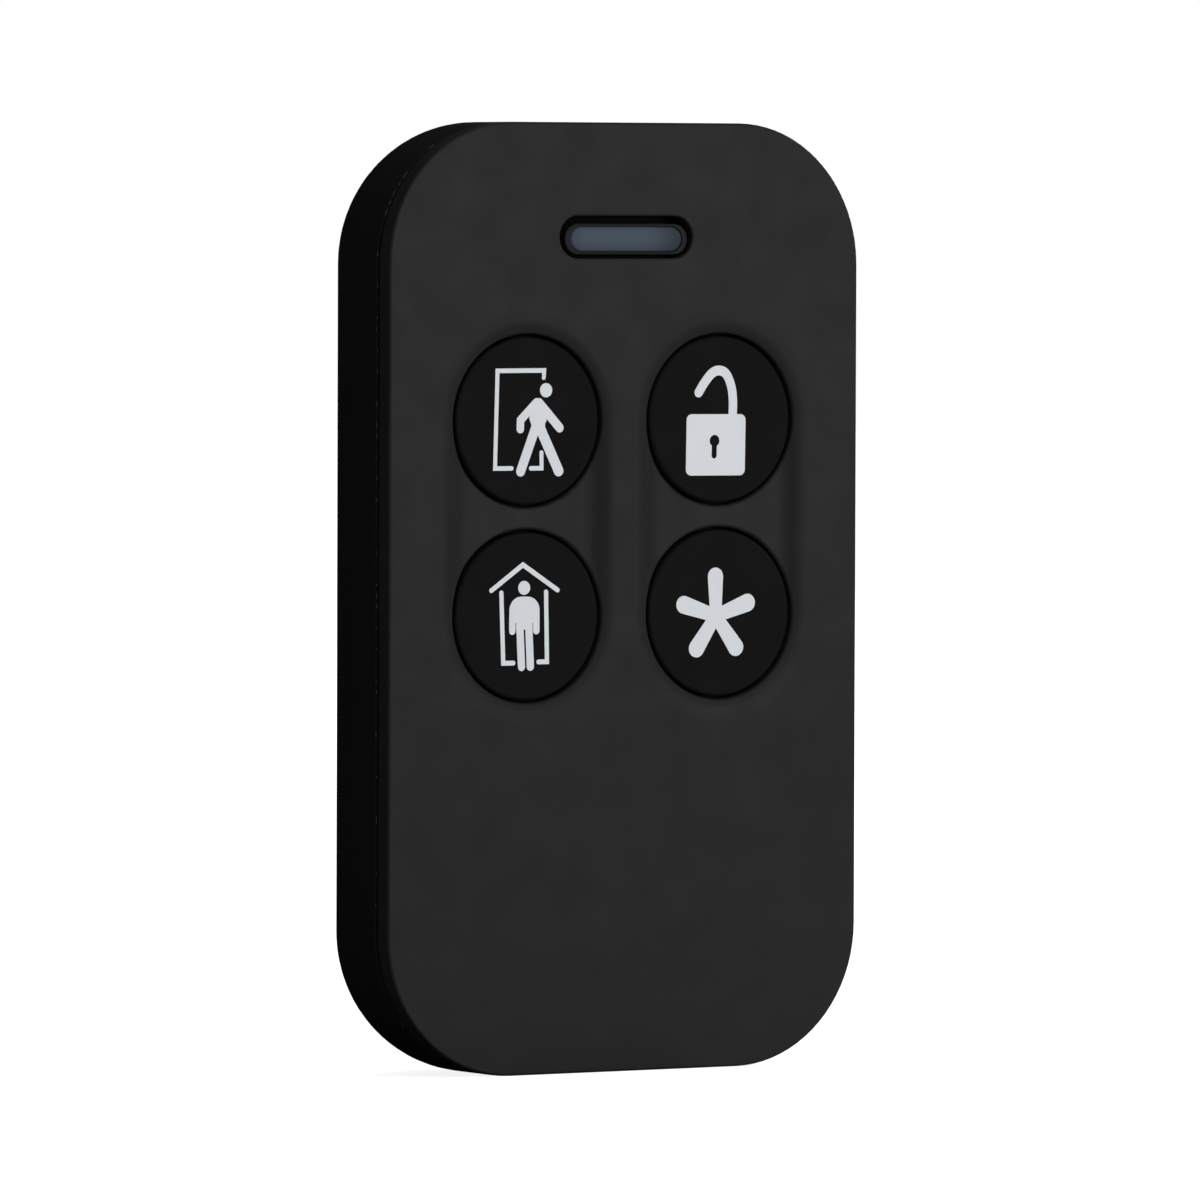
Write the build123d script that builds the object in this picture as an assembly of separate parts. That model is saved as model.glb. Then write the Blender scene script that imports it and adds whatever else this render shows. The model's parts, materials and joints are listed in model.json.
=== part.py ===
from build123d import *
import os
from math import sqrt

# Alarm key fob with four round keys and a slot-shaped indicator window.
# It stands as it is held: X is the width, Y runs from the front face to the back, Z is up,
# and the origin is the middle of the body. All sizes are in millimetres.

os.makedirs("parts", exist_ok=True)

# Whole body
width = 34.0
height = 58.7
depth = 11.0
corner_radius = 8.75
front_edge_radius = 0.15
rear_edge_radius = 6.5

# Front cover and rear case
cover_thickness = 1.35
cover_back_radius = 0.2
seam_gap = 0.2
case_wall = 1.4
case_lip_radius = 0.15
rim_wall = 0.65
rim_clearance = 0.1
tongue_wall = 0.9
tongue_reach = 1.1
overrun = 1.0

# Keys, in two columns and two rows
column_pitch = 13.98
row_pitch = 12.05
top_row_from_top = 18.37
key_hole_radius = 5.35
key_hole_edge_radius = 0.2
key_gap = 0.2
key_rise = 0.12
key_edge_radius = 0.2
key_travel = 0.3
key_rest_gap = 0.03
flange_overlap = 0.35
flange_thickness = 0.5
stem_radius = 1.3

# Dished channel round each column of keys
dish_half_width = 6.95
dish_depth = 0.35
dish_run = 2.76
dish_rim_run = 0.85
dish_rim_depth = 0.0234
dish_bend_run = 0.7
dish_bend_depth = 0.133
dish_rim_lift = 0.002

# Silicone mat that seals the keys to the board
mat_sheet = 0.5
mat_wall = 0.8
mat_clearance = 0.3
mat_hole_clearance = 0.1
mat_margin = 1.6
mat_corner_radius = 1.5

# Indicator window
window_from_top = 7.07
window_length = 9.6
window_width = 2.6
window_edge_radius = 0.12
insert_drop = 0.13
frame_gap = 0.34
frame_recess = 0.05
frame_edge_radius = 0.08
frame_flange = 0.8
frame_flange_thickness = 0.5
lens_length = 8.1
lens_width = 1.56
lens_clearance = 0.03
lens_rise = 0.03
lens_edge_radius = 0.15
pipe_flange = 0.85
pipe_flange_thickness = 0.6
pipe_stem_length = 4.0
pipe_leg_width = 1.0
pipe_leg_height = 1.2

# Circuit board and how it is held
board_thickness = 0.8
board_clearance = 0.25
screw_from_side = 7.0
screw_from_bottom = 7.35
post_from_side = 5.5
post_from_top = 8.85
post_radius = 1.3
spigot_radius = 0.7
spigot_clearance = 0.1
spigot_short = 0.1

# Case screws, thread forming, two millimetres by six
screw_radius = 1.0
screw_length = 6.0
screw_head_radius = 1.6
screw_head_height = 1.1
screw_head_seat = 2.1
screw_recess_clearance = 0.2
screw_hole_clearance = 0.15
screw_bite_clearance = 0.01
screw_tip_clearance = 0.3
boss_radius = 2.1
pillar_wall = 1.0
drive_width = 0.45
drive_length = 1.9
drive_depth = 0.6

# Slot for a key ring or cord, behind a bar in the top rear edge
ring_slot_width = 6.0
ring_slot_gap = 2.2
ring_bar_thickness = 1.9
ring_slot_wall = 1.2
ring_slot_elbow = 1.2
ring_bar_round = 0.5

# Bare recess for a label on the back
label_width = 17.0
label_height = 21.0
label_depth = 0.2
label_corner_radius = 1.5
label_from_top = 24.0

# Push switches
switch_side = 5.2
switch_height = 1.3
switch_lid = 0.2
switch_base = 0.3
switch_cavity_radius = 1.9
plunger_radius = 1.0
plunger_clearance = 0.05
plunger_flange_radius = 1.6
plunger_flange_thickness = 0.27
plunger_nub_radius = 0.5
plunger_nub_length = 0.05
dome_radius = 1.7
dome_height = 0.4
dome_thickness = 0.08
terminal_length = 0.9
terminal_width = 0.7
terminal_thickness = 0.15
terminal_spacing = 3.0

# Coin cell, 20 mm across and 3.2 mm thick, in its cradle
cell_radius = 10.0
cell_thickness = 3.2
cell_from_bottom = 20.35
cell_can_wall = 0.25
cell_can_floor = 0.3
cell_can_lip = 0.15
cell_gasket_wall = 0.7
cell_gasket_lip = 0.05
cell_clearance = 0.15
cradle_wall = 1.15
cradle_height = 2.6
cradle_base = 0.25
cradle_window_radius = 5.0
cradle_mouth = 9.0
contact_thickness = 0.2
contact_width = 5.0
contact_clearance = 0.1
contact_foot = 1.2
contact_offset = 0.9
contact_reach = 7.0
negative_seat = 0.3
negative_radius = 4.0
negative_tongue_length = 5.0
negative_tongue_width = 2.0
negative_strip = 0.15

# Parts soldered on the board
led_length = 2.0
led_width = 1.25
led_height = 0.8
led_edge_margin = 1.3
radio_side = 5.0
radio_height = 0.9
radio_from_cradle = 4.6
crystal_length = 3.2
crystal_width = 2.5
crystal_height = 0.8
chip_gap = 1.1
capacitor_length = 1.6
capacitor_width = 0.8
capacitor_height = 0.8
capacitor_pitch = 1.9
capacitor_count = 7
resistor_length = 1.6
resistor_width = 0.8
resistor_height = 0.45
resistor_pitch = 1.5
resistor_count = 4
antenna_wire_radius = 0.4
antenna_from_side = 8.5
antenna_reach = 5.5
antenna_lift = 2.1
antenna_bend_radius = 1.0
antenna_from_top = 8.6

# Depths worked out from the front to the back
front_face = -depth / 2
rear_face = depth / 2
cover_back = front_face + cover_thickness
case_front = cover_back + seam_gap
tongue_end = case_front + tongue_reach
case_floor = rear_face - case_wall
cell_back = case_floor - contact_clearance - contact_thickness
cell_front = cell_back - cell_thickness
board_back = cell_front - negative_seat
board_front = board_back - board_thickness
switch_top = board_front - switch_height
plunger_top = switch_top - key_travel
key_face = front_face + dish_depth - key_rise
flange_front = cover_back + key_rest_gap
flange_back = flange_front + flange_thickness
sheet_back = cover_back + mat_sheet
head_seat = rear_face - screw_head_seat
screw_tip = head_seat - screw_length

# Places worked out across the face
top = height / 2
bottom = -height / 2
tongue_inset = rim_wall + rim_clearance
tongue_inner = tongue_inset + tongue_wall
key_columns = (-column_pitch / 2, column_pitch / 2)
top_row = top - top_row_from_top
bottom_row = top_row - row_pitch
middle_row = (top_row + bottom_row) / 2
flange_radius = key_hole_radius + flange_overlap
key_radius = key_hole_radius - key_gap
window_z = top - window_from_top
insert_z = window_z - insert_drop
screw_x = width / 2 - screw_from_side
screw_z = bottom + screw_from_bottom
post_x = width / 2 - post_from_side
post_z = top - post_from_top
cell_z = bottom + cell_from_bottom
cradle_radius = cell_radius + cell_clearance + cradle_wall
pillar_radius = screw_head_radius + screw_recess_clearance + pillar_wall

# The round of the rear edge, and the key ring slot placed inside it
round_y = rear_face - rear_edge_radius
round_z = top - rear_edge_radius
bar_corner = (rear_edge_radius - ring_bar_thickness) / sqrt(2)
slot_back = round_y + bar_corner
slot_front = slot_back - ring_slot_gap
slot_top = round_z + bar_corner
slot_bottom = slot_top - ring_slot_gap
slot_half = ring_slot_width / 2
chamber_half = slot_half + ring_slot_wall
chamber_front = slot_front - ring_slot_wall
chamber_bottom = slot_bottom - ring_slot_wall
notch_bottom = chamber_bottom - board_clearance
led_z = notch_bottom - led_edge_margin

KEYS = {
    "away": (key_columns[0], top_row),
    "disarm": (key_columns[1], top_row),
    "home": (key_columns[0], bottom_row),
    "star": (key_columns[1], bottom_row),
}


# Shapes drawn in X and Z and carried through the depth

def slab(outline, front, back):
    """Solid of an outline between two depths."""
    return extrude(Plane.XZ.offset(-back) * outline, amount=back - front)


def disc(x, z, radius, front, back):
    """Round solid between two depths."""
    return slab(Pos(x, z) * Circle(radius), front, back)


def block(x_limits, z_limits, front, back):
    """Rectangular solid from its limits."""
    size_x = x_limits[1] - x_limits[0]
    size_z = z_limits[1] - z_limits[0]
    middle = Pos(sum(x_limits) / 2, sum(z_limits) / 2)
    return slab(middle * Rectangle(size_x, size_z), front, back)


def centred(x, z, size_x, size_z, front, back):
    """Rectangular solid about a point."""
    return slab(Pos(x, z) * Rectangle(size_x, size_z), front, back)


def stadium(z, length, across):
    """Outline of the indicator window and what fits it."""
    return Pos(0, z) * SlotOverall(length, across)


def body_outline(inset):
    """Outline of the fob, drawn in by a distance."""
    return RectangleRounded(width - 2 * inset, height - 2 * inset, corner_radius - inset)


def rounded_body(inset, front, back):
    """Body whose back edge has the fob's large round, drawn in by a distance."""
    body = slab(body_outline(inset), front, back)
    return fillet(body.edges().group_by(Axis.Y)[-1], rear_edge_radius - inset)


def cavity_inset(y):
    """How far the inside of the rear case lies in from the outline at a depth."""
    inner_round = rear_edge_radius - case_wall
    past = max(y - round_y, 0)
    return case_wall + inner_round - sqrt(inner_round**2 - past**2)


# Shells

def dish(x):
    """Tool for the shallow channel round one column of keys, soft at its rim and at its foot."""
    floor = front_face + dish_depth
    rim = (dish_half_width, front_face - dish_rim_lift)
    knee = (rim[0] - dish_rim_run, rim[1] + dish_rim_depth)
    halfway = (knee[0] - dish_bend_run, knee[1] + dish_bend_depth)
    foot = (dish_half_width - dish_run, floor)
    soft = TangentArc(rim, knee, tangent=(-1, 0))
    upper = TangentArc(knee, halfway, tangent=soft % 1)
    lower = TangentArc(halfway, foot, tangent=upper % 1)
    outside = Polyline(
        rim, (rim[0], front_face - overrun), (0, front_face - overrun), (0, floor), foot
    )
    section = make_face([soft, upper, lower, outside])
    end = revolve(section, Axis.Y, 180)
    tool = Pos(x, 0, bottom_row) * end + Pos(x, 0, top_row) * Rot(0, 180, 0) * end
    for half in (section, mirror(section, Plane.YZ)):
        tool += Pos(x, 0, bottom_row) * extrude(half, amount=row_pitch, dir=(0, 0, 1))
    return tool


def soften_hole(plate, x, z):
    """Rounds the front edge of one key hole."""
    rim = []
    for edge in plate.edges():
        points = (edge @ 0, edge @ 0.5, edge @ 1)
        off = max(abs(sqrt((p.X - x) ** 2 + (p.Z - z) ** 2) - key_hole_radius) for p in points)
        if off < 0.001 and points[1].Y < cover_back - key_hole_edge_radius:
            rim.append(edge)
    return fillet(rim, key_hole_edge_radius)


def soften_window(plate):
    """Rounds the front edge of the window slot."""
    rim = []
    for edge in plate.edges().group_by(Axis.Y)[0]:
        middle = edge @ 0.5
        if abs(middle.X) < window_length and abs(middle.Z - window_z) < window_width:
            rim.append(edge)
    return fillet(rim, window_edge_radius)


def front_cover():
    """Plate with the key holes, window and dishes, and the tongue that enters the rear case."""
    plate = slab(body_outline(0), front_face, cover_back)
    plate = fillet(plate.edges().group_by(Axis.Y)[0], front_edge_radius)
    plate = fillet(plate.edges().group_by(Axis.Y)[-1], cover_back_radius)
    for x in key_columns:
        plate -= dish(x)
    plate -= slab(stadium(window_z, window_length, window_width), front_face, cover_back)
    plate = soften_window(plate)
    for x, z in KEYS.values():
        plate -= disc(x, z, key_hole_radius, front_face - overrun, cover_back)
    for x, z in KEYS.values():
        plate = soften_hole(plate, x, z)
    tongue = slab(body_outline(tongue_inset), cover_back, tongue_end)
    tongue -= slab(body_outline(tongue_inner), cover_back, tongue_end)
    cover = plate + tongue
    for side in (-1, 1):
        cover += disc(side * screw_x, screw_z, boss_radius, cover_back, board_front)
        cover += disc(side * post_x, post_z, post_radius, cover_back, board_front)
    for side in (-1, 1):
        bore = screw_radius + screw_bite_clearance
        cover -= disc(side * screw_x, screw_z, bore, screw_tip - screw_tip_clearance, board_front)
    return cover


def ring_slot():
    """Tool for the passage that enters the top, turns and leaves through the back."""
    drop = Pos((slot_front + slot_back) / 2, (slot_bottom + top + overrun) / 2)
    drop *= Rectangle(ring_slot_gap, top + overrun - slot_bottom)
    run = Pos((slot_front + rear_face + overrun) / 2, (slot_bottom + slot_top) / 2)
    run *= Rectangle(rear_face + overrun - slot_front, ring_slot_gap)
    bend = drop + run
    outer = bend.vertices().sort_by_distance((slot_front, slot_bottom, 0))[0]
    bend = fillet(outer, ring_slot_elbow)
    inner = bend.vertices().sort_by_distance((slot_back, slot_top, 0))[0]
    bend = fillet(inner, ring_bar_round)
    return extrude(Plane.YZ * bend, amount=slot_half, both=True)


def case_supports():
    """Pillars, posts and the closed chamber round the key ring slot."""
    supports = block((-chamber_half, chamber_half), (chamber_bottom, top), chamber_front, rear_face)
    for side in (-1, 1):
        supports += disc(side * screw_x, screw_z, pillar_radius, board_back, rear_face)
        supports += disc(side * post_x, post_z, post_radius, board_back, rear_face)
        spigot_front = board_front + spigot_short
        supports += disc(side * post_x, post_z, spigot_radius, spigot_front, rear_face)
    return supports


def rear_case():
    """Tub with the rounded back, which carries the board and the screws."""
    envelope = rounded_body(0, case_front, rear_face)
    shell = fillet(envelope.edges().group_by(Axis.Y)[0], case_lip_radius)
    shell -= rounded_body(case_wall, case_front - overrun, case_floor)
    shell -= slab(body_outline(rim_wall), case_front - overrun, tongue_end)
    case = shell + (case_supports() & envelope)
    for side in (-1, 1):
        recess = screw_head_radius + screw_recess_clearance
        case -= disc(side * screw_x, screw_z, recess, head_seat, rear_face + overrun)
        hole = screw_radius + screw_hole_clearance
        case -= disc(side * screw_x, screw_z, hole, board_back, head_seat)
    case -= ring_slot()
    label = Pos(0, top - label_from_top)
    label *= RectangleRounded(label_width, label_height, label_corner_radius)
    return case - slab(label, rear_face - label_depth, rear_face + overrun)


# Keys, their mat and their switches

def key(x, z):
    """Key cap with the flange that holds it behind the cover and the stem to its switch."""
    cap = disc(x, z, key_radius, key_face, flange_back)
    cap = fillet(cap.edges().group_by(Axis.Y)[0], key_edge_radius)
    cap += disc(x, z, flange_radius, flange_front, flange_back)
    return cap + disc(x, z, stem_radius, flange_back, plunger_top)


def keypad_mat():
    """Sheet pinched behind the cover, with a wall that stands on the board."""
    half = width / 2 - tongue_inner - mat_clearance
    reach = flange_radius + mat_hole_clearance + mat_margin
    tall = row_pitch + 2 * reach
    outer = Pos(0, middle_row) * RectangleRounded(2 * half, tall, mat_corner_radius)
    inner = Pos(0, middle_row)
    inner *= RectangleRounded(
        2 * half - 2 * mat_wall, tall - 2 * mat_wall, mat_corner_radius - mat_wall
    )
    mat = slab(outer, cover_back, board_front) - slab(inner, sheet_back, board_front)
    for x, z in KEYS.values():
        mat -= disc(x, z, flange_radius + mat_hole_clearance, cover_back, sheet_back)
    return mat


def switch_housing(x, z):
    """Square switch body with a hole for its plunger."""
    housing = centred(x, z, switch_side, switch_side, switch_top, board_front)
    cavity_front = switch_top + switch_lid
    housing -= disc(x, z, switch_cavity_radius, cavity_front, board_front - switch_base)
    return housing - disc(x, z, plunger_radius + plunger_clearance, switch_top, cavity_front)


def plunger(x, z):
    """Button of one switch, held in by its own flange."""
    flange_start = switch_top + switch_lid + key_rest_gap
    flange_end = flange_start + plunger_flange_thickness
    rod = disc(x, z, plunger_radius, plunger_top, flange_end)
    rod += disc(x, z, plunger_flange_radius, flange_start, flange_end)
    return rod + disc(x, z, plunger_nub_radius, flange_end, flange_end + plunger_nub_length)


def snap_dome(x, z):
    """Thin spring dome on the floor of one switch, which pushes its key back."""
    floor = board_front - switch_base
    ball_radius = (dome_radius**2 + dome_height**2) / (2 * dome_height)
    centre = Pos(x, floor - dome_height + ball_radius, z)
    shell = centre * Sphere(ball_radius) - centre * Sphere(ball_radius - dome_thickness)
    return shell & disc(x, z, dome_radius, floor - dome_height - overrun, floor)


def switch_terminals():
    """Four soldered feet on every switch."""
    feet = []
    for x, z in KEYS.values():
        for side in (-1, 1):
            for end in (-1, 1):
                foot_x = x + side * (switch_side + terminal_length) / 2
                foot_z = z + end * terminal_spacing / 2
                front = board_front - terminal_thickness
                feet.append(
                    centred(foot_x, foot_z, terminal_length, terminal_width, front, board_front)
                )
    return Compound(children=feet)


# Indicator

def window_frame():
    """Black bezel in the window slot, with a flange behind the cover."""
    length = window_length - 2 * frame_gap
    across = window_width - 2 * frame_gap
    front = front_face + frame_recess
    back = cover_back + frame_flange_thickness
    frame = slab(stadium(insert_z, length, across), front, back)
    frame = fillet(frame.edges().group_by(Axis.Y)[0], frame_edge_radius)
    flange = stadium(insert_z, window_length + 2 * frame_flange, window_width + 2 * frame_flange)
    frame += slab(flange, cover_back, back)
    hole_length = lens_length + 2 * lens_clearance
    hole_width = lens_width + 2 * lens_clearance
    return frame - slab(stadium(insert_z, hole_length, hole_width), front, back)


def light_pipe():
    """Lens, flange, stem over the lamp and two legs that stand on the board."""
    front = front_face + frame_recess - lens_rise
    flange_at = cover_back + frame_flange_thickness
    flange_end = flange_at + pipe_flange_thickness
    pipe = slab(stadium(insert_z, lens_length, lens_width), front, flange_end)
    pipe = fillet(pipe.edges().group_by(Axis.Y)[0], lens_edge_radius)
    flange = stadium(insert_z, lens_length + 2 * pipe_flange, lens_width + 2 * pipe_flange)
    pipe += slab(flange, flange_at, flange_end)
    stem_bottom = led_z - led_width / 2
    stem_top = insert_z + lens_width / 2
    half_stem = pipe_stem_length / 2
    stem_end = board_front - led_height - lens_clearance
    pipe += block((-half_stem, half_stem), (stem_bottom, stem_top), flange_at, stem_end)
    leg_x = (lens_length + pipe_leg_width) / 2
    for side in (-1, 1):
        pipe += centred(side * leg_x, led_z, pipe_leg_width, pipe_leg_height, flange_at, board_front)
    return pipe


def status_led():
    """Surface-mounted lamp under the light pipe."""
    return centred(0, led_z, led_length, led_width, board_front - led_height, board_front)


# Circuit board and what is soldered to it

def circuit_board():
    """Board cut to the inside of the case, with its notch and holes."""
    inset = cavity_inset(board_back) + board_clearance
    board = slab(body_outline(inset), board_front, board_back)
    notch_half = chamber_half + board_clearance
    board -= block((-notch_half, notch_half), (notch_bottom, top), board_front, board_back)
    for side in (-1, 1):
        screw_hole = screw_radius + screw_hole_clearance
        board -= disc(side * screw_x, screw_z, screw_hole, board_front, board_back)
        spigot_hole = spigot_radius + spigot_clearance
        board -= disc(side * post_x, post_z, spigot_hole, board_front, board_back)
    return board


radio_z = cell_z + cradle_radius + radio_from_cradle


def radio_chip():
    """Transmitter and controller in one square package."""
    return centred(0, radio_z, radio_side, radio_side, board_back, board_back + radio_height)


def crystal():
    """Metal-capped crystal beside the radio chip."""
    x = (radio_side + crystal_width) / 2 + chip_gap
    return centred(x, radio_z, crystal_width, crystal_length, board_back, board_back + crystal_height)


def capacitors():
    """Row of small capacitors above the radio chip."""
    z = radio_z + (radio_side + capacitor_length) / 2 + chip_gap
    row = []
    for place in range(capacitor_count):
        x = (place - (capacitor_count - 1) / 2) * capacitor_pitch
        back = board_back + capacitor_height
        row.append(centred(x, z, capacitor_width, capacitor_length, board_back, back))
    return Compound(children=row)


def resistors():
    """Column of small resistors on the other side of the radio chip."""
    x = -(radio_side + resistor_length) / 2 - chip_gap
    column = []
    for place in range(resistor_count):
        z = radio_z + (place - (resistor_count - 1) / 2) * resistor_pitch
        back = board_back + resistor_height
        column.append(centred(x, z, resistor_length, resistor_width, board_back, back))
    return Compound(children=column)


def antenna_loop():
    """Bent wire aerial standing off the board near its top end."""
    half = width / 2 - antenna_from_side
    far = top - antenna_from_top
    near = far - antenna_reach
    raised = board_back + antenna_lift
    path = FilletPolyline(
        (-half, board_back, near),
        (-half, raised, near),
        (-half, raised, far),
        (half, raised, far),
        (half, raised, near),
        (half, board_back, near),
        radius=antenna_bend_radius,
    )
    section = Plane(origin=path @ 0, z_dir=path % 0) * Circle(antenna_wire_radius)
    return sweep(section, path=path)


# Coin cell, its cradle and its contacts

def cell_can():
    """Steel cup, the positive side, with its flat floor towards the back."""
    can_front = cell_front + cell_can_lip
    can = disc(0, cell_z, cell_radius, can_front, cell_back)
    inside = cell_radius - cell_can_wall
    return can - disc(0, cell_z, inside, can_front, cell_back - cell_can_floor)


def cell_gasket():
    """Plastic ring that keeps the cap and the can apart."""
    outside = cell_radius - cell_can_wall
    front = cell_front + cell_gasket_lip
    ring = disc(0, cell_z, outside, front, cell_back - cell_can_floor)
    return ring - disc(0, cell_z, outside - cell_gasket_wall, front, cell_back - cell_can_floor)


def cell_cap():
    """Cap and contents of the cell, the negative side, towards the board."""
    radius = cell_radius - cell_can_wall - cell_gasket_wall
    return disc(0, cell_z, radius, cell_front, cell_back - cell_can_floor)


def cell_cradle():
    """Moulded ring on the board, open at the bottom and notched for the positive contact."""
    back = board_back + cradle_height
    ring = disc(0, cell_z, cradle_radius, board_back, back)
    base_back = board_back + cradle_base
    ring -= disc(0, cell_z, cell_radius + cell_clearance, base_back, back)
    ring -= disc(0, cell_z, cradle_window_radius, board_back, base_back)
    half_mouth = cradle_mouth / 2
    mouth_limits = (cell_z - cradle_radius - overrun, cell_z - cradle_window_radius)
    ring -= block((-half_mouth, half_mouth), mouth_limits, base_back, back)
    half_notch = contact_width / 2 + contact_clearance
    notch_limits = (cell_z + cell_radius + contact_clearance, cell_z + cradle_radius + overrun)
    return ring - block((-half_notch, half_notch), notch_limits, board_back, back)


def positive_contact():
    """Spring strip from its foot on the board up over the back of the cell."""
    across = (-contact_width / 2, contact_width / 2)
    inner = cell_z + cell_radius + contact_offset
    outer = inner + contact_thickness
    finger_back = cell_back + contact_thickness
    strip = block(across, (inner, outer), board_back, finger_back)
    strip += block(across, (inner - contact_reach, outer), cell_back, finger_back)
    foot_back = board_back + contact_thickness
    return strip + block(across, (inner, outer + contact_foot), board_back, foot_back)


def negative_contact():
    """Round pad on the board with a tongue raised to the cell's cap."""
    pad = disc(0, cell_z, negative_radius, board_back, board_back + negative_strip)
    tongue = centred(
        0, cell_z, negative_tongue_width, negative_tongue_length, board_back, cell_front
    )
    return pad + tongue


# Fasteners

def case_screw(x):
    """Pan-head screw driven from the back, with a cross recess."""
    head_back = head_seat + screw_head_height
    screw = disc(x, screw_z, screw_head_radius, head_seat, head_back)
    screw += disc(x, screw_z, screw_radius, screw_tip, head_seat)
    for across, tall in ((drive_length, drive_width), (drive_width, drive_length)):
        screw -= centred(x, screw_z, across, tall, head_back - drive_depth, head_back)
    return screw


def case_screws():
    """Both screws that close the case."""
    return Compound(children=[case_screw(-screw_x), case_screw(screw_x)])


# Every node and its solid

nodes = {
    "front_cover": front_cover(),
    "rear_case": rear_case(),
    "keypad_mat": keypad_mat(),
    "window_frame": window_frame(),
    "light_pipe": light_pipe(),
    "circuit_board": circuit_board(),
    "status_led": status_led(),
    "radio_chip": radio_chip(),
    "crystal": crystal(),
    "capacitors": capacitors(),
    "resistors": resistors(),
    "antenna_loop": antenna_loop(),
    "switch_terminals": switch_terminals(),
    "cell_can": cell_can(),
    "cell_gasket": cell_gasket(),
    "cell_cap": cell_cap(),
    "cell_cradle": cell_cradle(),
    "positive_contact": positive_contact(),
    "negative_contact": negative_contact(),
    "case_screws": case_screws(),
}
for name, (key_x, key_z) in KEYS.items():
    nodes["key_" + name] = key(key_x, key_z)
    nodes["switch_" + name] = switch_housing(key_x, key_z)
    nodes["plunger_" + name] = plunger(key_x, key_z)
    nodes["dome_" + name] = snap_dome(key_x, key_z)

for name, solid in nodes.items():
    export_step(solid, "parts/" + name + ".step")
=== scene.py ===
"""Looks of the alarm key fob: its finishes, prints, label and seam, and the studio it stands in.

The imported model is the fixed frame. X is the width of the fob, Y runs from its front face to its back
and Z is up. Blender works in metres, so the sizes of this file, which are in millimetres, go through MM.
"""

from __future__ import annotations

import json
import logging
import math
from dataclasses import dataclass, field
from enum import Enum
from typing import Any

import bpy
from bpy.types import Material, Mesh, Node, NodeSocket, NodeTree, Object, World
from mathutils import Matrix, Vector
from mathutils.geometry import delaunay_2d_cdt, interpolate_bezier


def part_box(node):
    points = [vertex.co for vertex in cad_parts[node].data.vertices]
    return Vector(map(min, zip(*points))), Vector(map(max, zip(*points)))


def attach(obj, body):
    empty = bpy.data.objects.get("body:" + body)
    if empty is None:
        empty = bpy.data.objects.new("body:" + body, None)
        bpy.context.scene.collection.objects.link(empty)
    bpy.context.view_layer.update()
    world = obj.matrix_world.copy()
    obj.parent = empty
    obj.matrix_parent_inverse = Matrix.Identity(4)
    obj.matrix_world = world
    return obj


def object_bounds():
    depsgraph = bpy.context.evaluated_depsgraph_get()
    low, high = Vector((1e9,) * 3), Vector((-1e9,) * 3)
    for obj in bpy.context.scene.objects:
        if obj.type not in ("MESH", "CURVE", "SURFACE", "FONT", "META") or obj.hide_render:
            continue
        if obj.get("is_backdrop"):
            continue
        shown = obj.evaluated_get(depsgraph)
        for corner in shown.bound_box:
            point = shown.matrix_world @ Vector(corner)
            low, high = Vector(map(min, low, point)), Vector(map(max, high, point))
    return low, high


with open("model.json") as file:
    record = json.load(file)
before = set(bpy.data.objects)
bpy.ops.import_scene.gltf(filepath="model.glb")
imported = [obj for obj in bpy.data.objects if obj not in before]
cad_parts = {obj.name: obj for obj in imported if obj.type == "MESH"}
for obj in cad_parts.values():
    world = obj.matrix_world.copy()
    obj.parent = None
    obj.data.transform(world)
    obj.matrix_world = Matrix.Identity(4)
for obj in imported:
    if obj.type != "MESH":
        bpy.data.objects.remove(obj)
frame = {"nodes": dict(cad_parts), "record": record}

MM = 0.001
FOB = "fob"

log = logging.getLogger("key_fob")

Point = tuple[float, float]
Triple = tuple[float, float, float]

# Nearly all values of a noise texture lie between these two.
NOISE_LOW, NOISE_HIGH = 0.3, 0.7
# The smudges that change the gloss are this many times finer than the patches that change the colour.
SMUDGES_PER_PATCH = 3
# Steps of the arcs that round a corner or a line's end, and of a whole dot.
ROUND_STEPS = 12
DOT_STEPS = 48
# Steps of a curved line from one of its points to the next.
CURVE_STEPS = 8
# Points of a print that are closer than this are one point, in millimetres.
SAME_POINT = 1e-6
# Name of a geometry tree's material input, and the type of each input by that of its value.
FINISH_INPUT = "Finish"
SOCKETS = {
    float: "NodeSocketFloat",
    int: "NodeSocketInt",
    Vector: "NodeSocketVector",
    Material: "NodeSocketMaterial",
}
# A quarter turn about X stands a flat shape up, so that it faces the front.
UPRIGHT = (math.pi / 2, 0.0, 0.0)


def linear(colour: str) -> tuple[float, float, float, float]:
    """Turns an sRGB hex colour to the linear values that a shader takes.

    Args:
        colour: Six hex digits after a number sign.

    Returns:
        Red, green, blue and an alpha of one.
    """
    channels = []
    for place in (1, 3, 5):
        value = int(colour[place:place + 2], 16) / 255
        channels.append(value / 12.92 if value <= 0.04045 else ((value + 0.055) / 1.055) ** 2.4)
    return (*channels, 1.0)


def per_metre(pitch: float) -> float:
    """Gives the scale of a texture whose cells are this many millimetres apart."""
    return 1 / (pitch * MM)


def new_object(name: str, data: Any) -> Object:
    """Makes an object and puts it in the scene.

    Args:
        name: Its name.
        data: Its mesh, lamp or camera.

    Returns:
        The object.
    """
    made = bpy.data.objects.new(name, data)
    bpy.context.scene.collection.objects.link(made)
    return made


def empty_tree(owner: Material | World) -> NodeTree:
    """Clears the node tree of a new material or world.

    Args:
        owner: The material or world.

    Returns:
        Its tree.
    """
    owner.use_nodes = True
    owner.node_tree.nodes.clear()
    return owner.node_tree


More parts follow.
